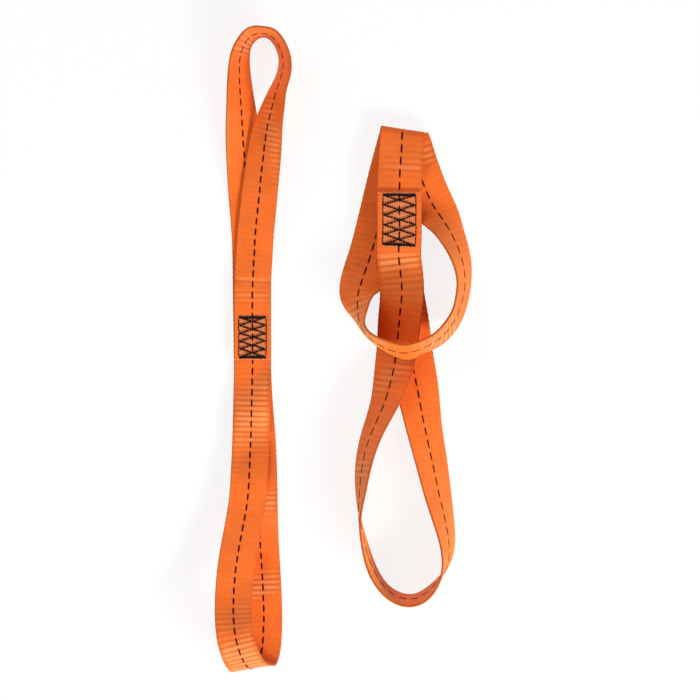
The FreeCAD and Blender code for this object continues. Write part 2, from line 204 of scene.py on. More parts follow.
# A row of a drape works between two rows of the route. After those it gives y from the seam's
# middle, its reach to the far and to the near side, how much it lifts the webbing, how far it
# slants across the width, and how much it opens the ribs.
STRAIGHT_DRAPE = [
    # the face ply dips off the end of the ply below it
    (44, 48, 0.0385, 0.0035, 0.005, -0.0006, 0.05, 0.6),
    # the front leg bows up as it leaves the stiff seam
    (3, 8, -0.05, 0.03, 0.03, 0.005, 0.7, 1), (3, 8, -0.055, 0.04, 0.045, 0, 0.7, 0.7),
    # the back leg lies in one long low wave, and its ribs stand open in two places
    (14, 22, -0.102, 0.032, 0.048, 0.0072, 0.3, 0), (14, 22, -0.113, 0.013, 0.013, 0, 0.3, 1),
    (14, 22, -0.168, 0.015, 0.014, 0, 0.3, 1),
    # the ribs stand open round the near eye
    (9.5, 14, -0.213, 0.02, 0.03, 0, 0.2, 1.1), (9.5, 14, -0.19, 0.015, 0.015, 0, 0.2, 0.45),
    # and on the way off the far eye, on that eye's shoulder and at the far end of the seam
    (39.5, 46, 0.148, 0.026, 0.026, 0, 2.2, 0.65), (30.5, 33.6, 0.1975, 0.009, 0.011, 0, 0, 1.1),
    (46, 49, 0.028, 0.008, 0.008, 0, 0, 0.5),
]

# How finely a route is worked out, and how the webbing strays from it: it cups and rolls a little
# along its length, but not beside the stiff seam.
RIBS_PER_WIDTH = 7
FITTING_ROUNDS = 4
SAMPLES_PER_ROW = 120
CROSSING_SAMPLES = 400
WANDER_STEP = 0.03
SPARE_DRAWS = 4
CUPPING, ROLLING, WEAVING = range(3)
CUP = 0.0005
ROLL = 0.025
STIFF_BY_SEAM = 0.03
STIFF_FADE = 0.04


def extended(points):
    """These points with one more at each end, in line with the last two."""
    return np.vstack([2 * points[0] - points[1], points, 2 * points[-1] - points[-2]])


def through(points):
    """Control points of the cubic B-spline that runs through these points, or all but."""
    held = points
    for _ in range(FITTING_ROUNDS):
        ends = extended(held)
        held = held + points - (ends[:-2] + 4 * ends[1:-1] + ends[2:]) / 6
    return extended(held)


def unit(vectors):
    """These vectors, each one long."""
    return vectors / np.linalg.norm(vectors, axis=1, keepdims=True)


class Sling:
    """One sling's route: where its webbing lies and how its width points, by distance along it."""

    def __init__(self, rows, width, seam_at, drape, seed):
        x, y, plies, lift, turn, lean = np.array(rows, float).T
        turn, lean = np.radians(turn), np.radians(lean)
        height = (plies * PLY_PITCH + lift
                  + width / 2 * abs(np.sin(lean)) + PLY / 2 * abs(np.cos(lean)))
        self.line = through(np.column_stack([
            x + seam_at[0], y + seam_at[1], height,
            np.cos(turn) * np.cos(lean), np.sin(turn) * np.cos(lean), np.sin(lean)]))
        self.width = width
        self.seam_y = seam_at[1]
        self.pick = width / RIBS_PER_WIDTH
        self.drape = drape
        self.rows = np.linspace(0, len(rows) - 1, SAMPLES_PER_ROW * len(rows))
        steps = np.diff(self.frames(self.rows)[0], axis=0)
        self.walked = np.concatenate([[0], np.cumsum(np.linalg.norm(steps, axis=1))])
        chance = np.random.RandomState(seed)
        self.wander = chance.uniform(-1, 1, (3, int(self.walked[-1] / WANDER_STEP) + SPARE_DRAWS))
        self.picks = chance.uniform(-1, 1, int(self.walked[-1] / self.pick) + SPARE_DRAWS)

    def frames(self, rows):
        """Middle of the webbing, and its directions across and out, at rows of the route."""
        row = np.minimum(rows.astype(int), len(self.line) - 4)
        u = (rows - row)[:, None]
        a, b, c, d = (self.line[row + i] for i in range(4))
        place = (a * (1 - u) ** 3 + b * (3 * u ** 3 - 6 * u ** 2 + 4)
                 + c * (3 * u + 3 * u ** 2 - 3 * u ** 3 + 1) + d * u ** 3) / 6
        way = (b * (3 * u ** 2 - 4 * u) - a * (1 - u) ** 2
               + c * (1 + 2 * u - 3 * u ** 2) + d * u ** 2)
        way = unit(way[:, :3])
        middle, across = place[:, :3], place[:, 3:]
        # where the route climbs the width may slant, and is then stretched to stay true
        across = across - way * (1 - way[:, 2:] ** 2) * (across * way).sum(1, keepdims=True)
        across = unit(across)
        out = np.cross(way, across)
        spread = np.linalg.norm(out, axis=1, keepdims=True)
        across, out = across / spread, out / spread
        seated = self.width / 2 * abs(across[:, 2]) + PLY / 2 * abs(out[:, 2])
        middle[:, 2] = np.maximum(middle[:, 2], seated)
        return middle, across, out

    def distance(self, row):
        """Distance along the webbing at a row of the route."""
        return np.interp(row, self.rows, self.walked)

    def passes(self, y, first, last):
        """Distance at which the webbing is this far beyond the seam's middle, between two rows."""
        rows = np.linspace(first, last, CROSSING_SAMPLES)
        beyond = self.frames(rows)[0][:, 1] - self.seam_y
        order = np.argsort(beyond)
        return self.distance(np.interp(y, beyond[order], rows[order]))

    def drift(self, kind, along):
        """A slow random change along the webbing, from -1 to 1."""
        at = along / WANDER_STEP
        step = at.astype(int)
        ease = (at - step) ** 2 * (3 - 2 * (at - step))
        values = self.wander[kind]
        return values[step] * (1 - ease) + values[step + 1] * ease

    def bowed(self, rows, x=0):
        """How far the webbing bows up from its route (+) or sags (-), and how flexed it is."""
        beyond = self.frames(rows)[0][:, 1] - self.seam_y
        rise, flexed = np.zeros(len(rows)), np.zeros(len(rows))
        for first, last, y, far_reach, near_reach, height, slant, ribs in self.drape:
            off = beyond - y + slant * x
            share = np.clip(abs(off) / np.where(off > 0, far_reach, near_reach), 0, 1)
            share = (rows >= first) * (rows <= last) * (1 + np.cos(np.pi * share)) / 2
            rise, flexed = rise + height * share, np.maximum(flexed, ribs * share)
        return rise, flexed

    def lay(self, piece):
        """Lays a piece modelled flat on the webbing: X across it, Y along it, Z out of its face."""
        flat = np.empty(len(piece.data.vertices) * 3)
        piece.data.vertices.foreach_get("co", flat)
        flat = flat.reshape(-1, 3)
        # points across the webbing share one frame, and are matched to a thousandth of a millimetre
        along, which = np.unique(flat[:, 1].round(6), return_inverse=True)
        rows = np.interp(along, self.walked, self.rows)
        middle, across, out = self.frames(rows)
        loose = np.clip((abs(middle[:, 1] - self.seam_y) - STIFF_BY_SEAM) / STIFF_FADE, 0, 1)
        cup = loose * CUP * self.drift(CUPPING, along)
        roll = loose * ROLL * self.drift(ROLLING, along)
        # X runs against the direction across, which keeps the faces outwards
        x, z = -flat[:, 0], flat[:, 2]
        z = z + cup[which] * (1 - 3 * (x / (self.width / 2)) ** 2) / 2 + roll[which] * x
        laid = middle[which] + across[which] * x[:, None] + out[which] * z[:, None]
        laid[:, 2] += self.bowed(rows[which], flat[:, 0])[0]
        piece.data.vertices.foreach_set("co", laid.ravel())
        piece.data.update()
        return piece


# The weave, in metres or as shares of a rib, of the selvedge or of the ply's thickness.
SELVEDGE = 0.0026
SELVEDGE_SMOOTH = 0.6
SELVEDGE_RIBS = 0.00004
EDGE_ROUND = 0.0007
EDGE_THICKNESS = 0.3
RIB_HEIGHT = 0.0001
RIB_FULLNESS = 0.55
RIB_LEVEL = 0.6
RIB_UNEVENNESS = 0.3
RIB_BOW = 0.12
PLAIN_RIBS = 0.2
FLEXED_RIBS = 1.1
SEWN_RIBS = 0.3
RIB_DRIFT = 0.8
DRIFT_SLANT = 1.6
RIBS_OPEN = (0.05, 1.1)
CROWNED_FROM = 0.3
TROUGH_WIDTH = 0.0006
TROUGH_DEPTH = 0.00007
TUCK_WIDTH = 0.0003
TUCK_DEPTH = 0.00006
SEWN_DEPTH = 0.0001


def half_thickness(from_edge):
    """Half of a ply's thickness, rounded off at the selvedge."""
    curl = 1 - np.clip(from_edge / EDGE_ROUND, 0, 1)
    return PLY / 2 * (EDGE_THICKNESS + (1 - EDGE_THICKNESS) * np.sqrt(1 - curl ** 2))


def woven(sling, x, along, stitched):
    """Height of the woven surface over the flat ply, how near each point is to the level of a
    rib's top, which sets the painted shade between the ribs, and how proud that top stands,
    which sets a painted highlight on it."""
    half = sling.width / 2
    bow = sling.pick * RIB_BOW * sling.drift(WEAVING, along) * (x / half)
    at = (along + bow) / sling.pick
    rib = (0.5 - 0.5 * np.cos(2 * np.pi * at)) ** RIB_FULLNESS
    uneven = 1 + RIB_UNEVENNESS * sling.picks[at.astype(int)]
    smooth = SELVEDGE * SELVEDGE_SMOOTH
    body = np.clip((half - abs(x) - smooth) / smooth, 0, 1)
    trough = np.exp(-(x / TROUGH_WIDTH) ** 2)
    tucked = np.exp(-((half - abs(x) - SELVEDGE) / TUCK_WIDTH) ** 2)
    rows = np.interp(along, sling.walked, sling.rows)
    drift = sling.drift(WEAVING, np.maximum(along + DRIFT_SLANT * x, 0))
    open_up = PLAIN_RIBS * (1 + RIB_DRIFT * drift)
    open_up += FLEXED_RIBS * sling.bowed(rows, x)[1] + SEWN_RIBS * stitched
    relief = RIB_HEIGHT * open_up * (rib * uneven - RIB_LEVEL) * body
    relief += SELVEDGE_RIBS * (rib - RIB_LEVEL) * (1 - body)
    relief -= TROUGH_DEPTH * trough + TUCK_DEPTH * tucked + SEWN_DEPTH * stitched
    opened = np.clip(open_up, *RIBS_OPEN)
    # the tops of open ribs are marked for a painted highlight
    crown_highlight = rib * uneven * body * np.clip(opened - CROWNED_FROM, 0, 1)
    return relief, 1 - (1 - rib) * opened, crown_highlight


# The flat slab that the weave is drawn on, and how far the marks of the sewing reach past it.
WEB_COLUMNS = 46
STEPS_PER_RIB = 7.2
EDGE_CROWDING = 0.07
SEAM_SHARE = 0.74
SEWN_PAST_ENDS = 0.0012
SEWN_PAST_SIDES = 0.0003
SEWN_FADE = 0.0006
RELIEF_FADE = 0.0006
SCALLOP = 0.006
SCALLOPED = 0.0015
RIM = 0.0007
RIM_FADE = 0.0005


def webbing(name, sling, start, stop, boxes):
    """A length of webbing: a slab of cloth modelled flat, ribbed, and laid on its route."""
    steps = round((stop - start) / sling.pick * STEPS_PER_RIB)
    bpy.ops.mesh.primitive_grid_add(x_subdivisions=WEB_COLUMNS, y_subdivisions=steps, size=1)
    piece = bpy.context.object
    piece.name = name
    bpy.ops.object.mode_set(mode="EDIT")
    bpy.ops.mesh.select_all(action="SELECT")
    bpy.ops.mesh.extrude_region_move(TRANSFORM_OT_translate={"value": (0, 0, -1)})
    bpy.ops.mesh.select_all(action="SELECT")
    bpy.ops.mesh.normals_make_consistent(inside=False)
    bpy.ops.object.mode_set(mode="OBJECT")
    flat = np.empty(len(piece.data.vertices) * 3)
    piece.data.vertices.foreach_get("co", flat)
    x, y, z = flat.reshape(-1, 3).T
    half = sling.width / 2
    face = np.where(z > -0.5, 1, -1)
    x = half * (2 * x - EDGE_CROWDING * np.sin(4 * np.pi * x))
    along = start + (y + 0.5) * (stop - start)
    stitched = np.zeros(len(x))
    for centre, length, side in boxes:
        inside = np.clip((length / 2 + SEWN_PAST_ENDS - abs(along - centre)) / SEWN_FADE, 0, 1)
        inside *= np.clip((SEAM_SHARE * half + SEWN_PAST_SIDES - abs(x)) / SEWN_FADE, 0, 1)
        stitched = np.maximum(stitched, inside * (face == side))
    relief, rib, crown_highlight = woven(sling, x, along, stitched)
    fade = np.clip((half - abs(x)) / RELIEF_FADE, 0, 1)
    rise = half_thickness(half - abs(x)) + relief * fade
    edge = 1 + SCALLOP * np.sin(2 * np.pi * along / sling.pick) * (abs(x) > half - SCALLOPED)
    shaped = np.column_stack([x * edge, along, face * rise])
    piece.data.vertices.foreach_set("co", shaped.ravel())
    # the selvedges' rims are marked for painted shade
    rim = np.clip((abs(x) - half + RIM) / RIM_FADE, 0, 1)
    for kind, values in (("rib", rib), ("crown_highlight", crown_highlight), ("stitched", stitched), ("rim", rim)):
        piece.data.attributes.new(kind, "FLOAT", "POINT").data.foreach_set("value", values)
    corners = np.empty(len(piece.data.loops), int)
    piece.data.loops.foreach_get("vertex_index", corners)
    spread = np.column_stack([x + sling.width, along])[corners]
    piece.data.uv_layers[0].data.foreach_set("uv", spread.ravel())
    piece.data.uv_layers[0].name = "flat"
    bpy.ops.object.shade_smooth()
    return sling.lay(piece)


# The valleys between the ribs carry painted shade, and the tops of open ribs a painted highlight.
SHADED_VALLEY_ORANGE = (0.78, 0.115, 0.017, 1)
RIB_ORANGE = (0.95, 0.178, 0.027, 1)
HIGHLIT_CROWN_ORANGE = (0.98, 0.38, 0.13, 1)
SEWN_ORANGE = (0.74, 0.27, 0.13)
CROWN_HIGHLIGHT_SHARE = 0.78
SEWN_PALENESS = 0.6
SHEEN_TINT = (1, 0.58, 0.08, 1)
GLINT_TINT = (1, 0.75, 0.4, 1)


def times(tree, a, b):
    """One value multiplied by another."""
    return shade(tree, "Math", {0: a, 1: b}, operation="MULTIPLY").outputs[0]


def short_of_one(tree, value):
    """How far a value is below 1."""
    return shade(tree, "Math", {0: 1, 1: value}, operation="SUBTRACT").outputs[0]


def brightened(tree, colour, level):
    """A colour made brighter or darker by a level."""
    return shade(tree, "VectorMath", {0: colour, "Scale": level}, operation="SCALE").outputs[0]


def mixed(tree, share, first, second):
    """One colour with a share of another over it."""
    return shade(tree, "Mix", {"Factor": share, "A": first, "B": second},
                 data_type="RGBA").outputs[2]


def graded(tree, value, *stops):
    """A colour that runs from one stop to the other, each a value and its colour."""
    ramp = shade(tree, "ValToRGB", {"Fac": value})
    for element, (place, colour) in zip(ramp.color_ramp.elements, stops):
        element.position = place
        element.color = colour
    return ramp.outputs["Color"]


def webbing_finish():
    """Orange polyester yarn: sheen, lengthwise filaments, painted shade between the ribs, in the
    pits and along the selvedge rims, and a painted highlight on the rib tops.
    """
    material, tree, output = blank_material("orange_webbing_weave")
    flat = shade(tree, "UVMap", uv_map="flat").outputs[0]
    rib, crown_highlight, stitched, rim = (
        shade(tree, "Attribute", attribute_name=kind).outputs["Fac"]
        for kind in ("rib", "crown_highlight", "stitched", "rim"))
    ends = shade(tree, "TexWave", {"Vector": flat, "Scale": 200, "Distortion": 1.2, "Detail": 1,
                                   "Detail Scale": 1.5}, bands_direction="X").outputs["Fac"]
    combed = shade(tree, "Mapping", {"Vector": flat, "Scale": (9000, 420, 1)})
    filaments = shade(tree, "TexNoise", {"Vector": combed.outputs[0], "Scale": 1, "Detail": 3,
                                         "Roughness": 0.6}).outputs["Fac"]
    dye = shade(tree, "TexNoise", {"Vector": flat, "Scale": 60, "Detail": 2}).outputs["Fac"]
    # painted shade in the rib valleys
    dyed = graded(tree, rib, (0, SHADED_VALLEY_ORANGE), (1, RIB_ORANGE))
    # a painted highlight on the tops of open ribs
    dyed = mixed(tree, times(tree, crown_highlight, CROWN_HIGHLIGHT_SHARE), dyed, HIGHLIT_CROWN_ORANGE)
    streaks = times(tree, ranged(tree, filaments, 0.82, 1.14, start=0.3, stop=0.7),
                    ranged(tree, dye, 0.9, 1.08, start=0.3, stop=0.7))
    # painted shade along the selvedge rims, over the yarn's own streaks
    streaks_and_rim_shade = times(tree, streaks, ranged(tree, rim, 1, 0.55))
    # painted shade in the pits between the yarns in the rib valleys
    shaded_pits = times(tree, short_of_one(tree, ends), short_of_one(tree, rib))
    lit = brightened(tree, dyed, times(tree, streaks_and_rim_shade, ranged(tree, shaded_pits, 1.03, 0.65)))
    sewn = brightened(tree, SEWN_ORANGE, ranged(tree, ends, 0.62, 1.2))
    colour = mixed(tree, times(tree, stitched, SEWN_PALENESS), lit, sewn)
    yarn = shade(tree, "Bump", {"Height": ends, "Strength": 0.6, "Distance": 0.0001})
    fibre = shade(tree, "Bump", {"Height": filaments, "Strength": 0.5, "Distance": 0.00004,
                                 "Normal": yarn.outputs[0]})
    across = shade(tree, "Tangent", direction_type="UV_MAP", uv_map="flat")
    cloth = shade(tree, "BsdfPrincipled", {
        "Base Color": colour, "Roughness": ranged(tree, filaments, 0.42, 0.58),
        "Normal": fibre.outputs[0], "Tangent": across.outputs[0], "Anisotropic": 0.5,
        "Specular IOR Level": 0.5, "Specular Tint": GLINT_TINT, "Sheen Weight": 0.4,
        "Sheen Roughness": 0.5, "Sheen Tint": SHEEN_TINT})
    tree.links.new(cloth.outputs[0], output.inputs["Surface"])
    return material


# The y at which each loop of the straight sling bends as it lifts, and the bend's reach before and
# after that, counted away from the seam.
STRAIGHT_HINGES = {"straight_far_loop": (0.05165, 0.006), "straight_near_loop": (-0.03635, -0.006)}


def bend_across(piece, body, moving, hinge_y, before, after):
    """Bakes a piece's placement into its mesh; it does not bend the piece."""
    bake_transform(piece)


def bend_straight(piece, moving):
    """Looks up where one of the straight sling's loops would bend, and passes the piece to
    bend_across.
    """
    hinge_y, reach = STRAIGHT_HINGES[moving]
    bend_across(piece, "straight_middle", moving, hinge_y, reach, reach)


straight = Sling(STRAIGHT_ROUTE, STRAIGHT_WIDTH, STRAIGHT_SEAM_AT, STRAIGHT_DRAPE, seed=4)
orange = webbing_finish()
straight_join = straight.distance(STRAIGHT_JOIN_ROW)
straight_under = straight.passes(0, *STRAIGHT_UNDER_ROWS)
straight_face = straight.passes(0, *STRAIGHT_FACE_ROWS)
straight_near = webbing("straight_webbing_near", straight, 0, straight_join,
                        [(straight_under, STRAIGHT_SEAM, -1)])
straight_far = webbing("straight_webbing_far", straight, straight_join, straight.walked[-1],
                       [(straight_face, STRAIGHT_SEAM, -1)])
for piece, moving, nodes in (
        (straight_near, "straight_near_loop",
         ("straight_near_eye", "straight_under_ply", "straight_back_leg")),
        (straight_far, "straight_far_loop",
         ("straight_far_eye", "straight_face_ply", "straight_back_leg"))):
    piece.data.materials.append(orange)
    bend_straight(piece, moving)
    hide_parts(*nodes)

# ---------------------------------------------------------------- straight sling, tracer yarn
# A black yarn woven in along the middle of the webbing, on both faces. It floats over one rib and
# dives under the next, so only short black dashes of it show.
TRACER_WIDTH = 0.0014
TRACER_HEIGHT = 0.0005
TRACER_PROUD = 0.00004
TRACER_WANDER = 0.00012
FLOAT_SHARE = 0.8
FLOAT_UNEVENNESS = 0.06
FIRST_FLOAT = 0.25
TRACER_BLACK = (0.05, 0.004, 0.003)


def copies(name, unit_mesh, places):
    """One mesh made of copies of a small one, at each of these placements."""
    corners = np.array([v.co for v in unit_mesh.vertices])
    corners = np.column_stack([corners, np.ones(len(corners))])
    faces = [tuple(f.vertices) for f in unit_mesh.polygons]
    points = np.concatenate([corners @ np.array(place).T for place in places])[:, :3]
    mesh = bpy.data.meshes.new(name)
    mesh.from_pydata(points, [], [tuple(i + n * len(corners) for i in face)
                                  for n in range(len(places)) for face in faces])
    piece = bpy.data.objects.new(name, mesh)
    bpy.context.collection.objects.link(piece)
    for face in mesh.polygons:
        face.use_smooth = True
    return piece


def bead(segments, rings):
    """The mesh of a ball one unit across, to be stretched into floats, stitches and melted ends."""
    bpy.ops.mesh.primitive_uv_sphere_add(segments=segments, ring_count=rings, radius=0.5)
    ball = bpy.context.object
    mesh = ball.data
    bpy.data.objects.remove(ball)
    return mesh


def stretched(along, across, high, at, turn=0.0):
    """Placement of a bead: its length on Y, its width on X and its height on Z."""
    return (Matrix.Translation(at) @ Matrix.Rotation(turn, 4, "Z")
            @ Matrix.Diagonal((across, along, high, 1)))


def tracer(name, sling, start, stop, seed):
    """The black dashes on both faces of a length of webbing."""
    chance = np.random.RandomState(seed)
    period = 2 * sling.pick
    clear = period / 3
    centres = (np.arange(int(sling.walked[-1] / period)) + FIRST_FLOAT) * period
    places = []
    for centre in centres[(centres > start + clear) & (centres < stop - clear)]:
        for face, shift in ((1, 0), (-1, sling.pick)):
            at = centre + shift
            length = period * FLOAT_SHARE * (1 + FLOAT_UNEVENNESS * chance.uniform(-1, 1))
            across = TRACER_WANDER * chance.uniform(-1, 1)
            places.append(stretched(length, TRACER_WIDTH, TRACER_HEIGHT,
                                    (across, at, face * (PLY / 2 + TRACER_PROUD))))
    return sling.lay(copies(name, bead(segments=6, rings=9), places))


def thread_finish(name, colour, sheen):
    """Bonded polyester thread or yarn, nearly black, with a fine twist."""
    material, tree, output = blank_material(name)
    place = shade(tree, "TexCoord").outputs["Object"]
    twist = shade(tree, "TexNoise", {"Vector": place, "Scale": 2600, "Detail": 2}).outputs["Fac"]
    shown = brightened(tree, colour, ranged(tree, twist, 0.5, 1.6))
    bump = shade(tree, "Bump", {"Height": twist, "Strength": 0.5, "Distance": 0.00006})
    yarn = shade(tree, "BsdfPrincipled", {
        "Base Color": shown, "Roughness": 0.65, "Normal": bump.outputs[0],
        "Specular IOR Level": 0.1, "Sheen Weight": sheen, "Sheen Roughness": 0.4})
    tree.links.new(yarn.outputs[0], output.inputs["Surface"])
    return material


black_yarn = thread_finish("black_tracer_yarn", TRACER_BLACK, sheen=0)
for name, start, stop, moving, nodes in (
        ("straight_tracer_near", 0, straight_join, "straight_near_loop",
         ("straight_near_eye_tracer", "straight_under_ply_tracer", "straight_back_leg_tracer")),
        ("straight_tracer_far", straight_join, straight.walked[-1], "straight_far_loop",
         ("straight_far_eye_tracer", "straight_face_ply_tracer", "straight_back_leg_tracer"))):
    piece = tracer(name, straight, start, stop, seed=7)
    piece.data.materials.append(black_yarn)
    bend_straight(piece, moving)
    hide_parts(*nodes)

# ---------------------------------------------------------------- straight sling, stitching
# The lapped ends are sewn on a zigzag machine with black bonded thread: two zigzags that cross on
# the middle, a row down each side, and a bar of tight stitches across each end. The bobbin
# thread makes the same figure on the back.
THREAD = 0.0012
THREAD_BLACK = (0.01, 0.003, 0.003)
THREAD_PROUD = 0.22
THREAD_FLATNESS = 0.9
THREAD_UNEVENNESS = 0.12
STITCH = 0.0023
STITCH_OVERLAP = 1.12
STITCH_WANDER = 0.00016
STITCH_TURN = 0.07
ZIGZAG_TURNS = 5
ZIGZAG_INSET = 0.3
ZIGZAG_SHORT = 0.03
ZIGZAG_WANDER = 0.0003
SIDE_THREAD = 0.6
SIDE_SUNK = 0.12
BAR_WIDTH = 0.0021
BAR_ROWS = (-0.5, 0, 0.5)
BAR_THREAD = 0.85


def row_of_stitches(points, thickness, height, chance):
    """Placements of the stitches of one row, sewn point to point."""
    places = []
    for start, end in zip(points, points[1:]):
        start, end = Vector(start), Vector(end)
        way = end - start
        count = max(1, round(way.length / STITCH))
        for i in range(count):
            centre = start + way * ((i + 0.5) / count)
            centre += Vector((*chance.uniform(-STITCH_WANDER, STITCH_WANDER, 2), height))
            turn = STITCH_TURN * chance.uniform(-1, 1) - Vector((0, 1)).angle_signed(way.xy, 0)
            across = thickness * (1 + THREAD_UNEVENNESS * chance.uniform(-1, 1))
            places.append(stretched(way.length / count * STITCH_OVERLAP, across,
                                    thickness * THREAD_FLATNESS, centre, turn))
    return places


def seam_rows(width, length, along, side, seed):
    """Placements of every stitch on one side of the seam, flat on the ply, by kind of row."""
    chance = np.random.RandomState(seed)
    half, reach = SEAM_SHARE * width / 2, length / 2
    height = side * (PLY / 2 + THREAD * THREAD_PROUD)
    rise = (length - BAR_WIDTH) / ZIGZAG_TURNS
    turns = [(i, reach - BAR_WIDTH / 2 - i * rise) for i in range(ZIGZAG_TURNS + 1)]
    zigzag, sides, bars = [], [], []
    for hand in (1, -1):
        swing = hand * (half - THREAD * ZIGZAG_INSET)
        points = [(swing * (-1) ** i * (1 + chance.uniform(-ZIGZAG_SHORT, 0)),
                   along + y + chance.uniform(-ZIGZAG_WANDER, ZIGZAG_WANDER), 0) for i, y in turns]
        zigzag += row_of_stitches(points, THREAD, height, chance)
        points = [(hand * half, along - reach + BAR_WIDTH, 0),
                  (hand * half, along + reach - BAR_WIDTH, 0)]
        sides += row_of_stitches(points, THREAD * SIDE_THREAD,
                                 height - side * THREAD * SIDE_SUNK, chance)
        for row in BAR_ROWS:
            y = along + hand * (reach - BAR_WIDTH / 2) + row * (BAR_WIDTH - THREAD)
            bars += row_of_stitches([(-half, y, 0), (half, y, 0)], THREAD * BAR_THREAD, height,
                                    chance)
    return zigzag, sides, bars


black_thread = thread_finish("black_sewing_thread", THREAD_BLACK, sheen=0.01)
stitch_bead = bead(segments=8, rings=8)


def sew(sling_name, sling, body, length, face, back, seed):
    """Sews one sling's seam. Its face and its back each give a distance along the webbing and
    the side of it that is sewn."""
    zigzag, sides, bars = seam_rows(sling.width, length, *face, seed)
    back = seam_rows(sling.width, length, *back, seed + 1)
    for kind, places in (("zigzag_thread", zigzag), ("side_row_thread", sides),
                         ("bar_tack_thread", bars), ("bobbin_thread", back[0] + back[1] + back[2])):
        piece = sling.lay(copies(sling_name + "_" + kind + "_stitches", stitch_bead, places))
        piece.data.materials.append(black_thread)
        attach(piece, body)
        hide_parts(sling_name + "_" + kind)


sew("straight", straight, "straight_middle", STRAIGHT_SEAM,
    (straight_face, -1), (straight_under, -1), seed=21)

# ---------------------------------------------------------------- straight sling, melted ends
# Each cut end of the polyester is sealed with a hot knife, so that it can't fray: the yarns melt
# into a row of hard, shiny, slightly scorched beads, fused to the end of the webbing.
MELT_PITCH = 0.0015
MELT_LENGTH = 0.0024
MELT_UNEVENNESS = 0.3
MELT_OVERLAP = 1.1
MELT_THICKNESS = 1.2
MELT_OVERHANG = 0.2
MELT_INSET = 0.0005
MELT_DARK = (0.85, 0.25, 0.07, 1)
MELT_PALE = (1, 0.45, 0.18, 1)

melted, tree, output = blank_material("melted_yarn")
place = shade(tree, "TexCoord").outputs["Object"]
blotch = shade(tree, "TexNoise", {"Vector": place, "Scale": 900, "Detail": 2}).outputs["Fac"]
scorch = graded(tree, blotch, (0.35, MELT_DARK), (0.65, MELT_PALE))
lumps = shade(tree, "Bump", {"Height": blotch, "Strength": 0.4, "Distance": 0.0001})
plastic = shade(tree, "BsdfPrincipled", {"Base Color": scorch, "Roughness": 0.3,
                                         "Normal": lumps.outputs[0]})
tree.links.new(plastic.outputs[0], output.inputs["Surface"])


def melted_end(name, sling, body, along, way, seed):
    """The row of melted yarn ends across one cut end of the webbing."""
    chance = np.random.RandomState(seed)
    count = int(sling.width / MELT_PITCH)
    places = []
    for i in range(count):
        x = (i - (count - 1) / 2) * (sling.width - MELT_PITCH) / (count - 1)
        length = MELT_LENGTH * (1 + MELT_UNEVENNESS * chance.uniform(-1, 1))
        places.append(stretched(length, MELT_PITCH * MELT_OVERLAP, PLY * MELT_THICKNESS,
                                (x, along + way * length * MELT_OVERHANG, 0)))
    piece = sling.lay(copies(name + "_beads", bead(segments=10, rings=8), places))
    piece.data.materials.append(melted)
    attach(piece, body)
    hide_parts(name)


melted_end("straight_under_seal", straight, "straight_middle", MELT_INSET, -1, seed=31)
melted_end("straight_face_seal", straight, "straight_middle", straight.walked[-1] - MELT_INSET, 1,
           seed=32)

# ---------------------------------------------------------------- hitched sling, webbing
# The same webbing in the next width up, choked: the loop end is passed round both legs and back
# over itself. It is laid in two lengths, which meet out of sight under the seam.
HITCHED_WIDTH = 0.03
HITCHED_SEAM = 0.0355
HITCHED_SEAM_AT = (0.0377, 0.08665)
HITCHED_JOIN_ROW = 45.5
HITCHED_UNDER_ROWS = (0, 4)
HITCHED_FACE_ROWS = (78, 82)
HITCHED_HINGE = 0.11065
HITCHED_BEND = (0.004, 0.010)

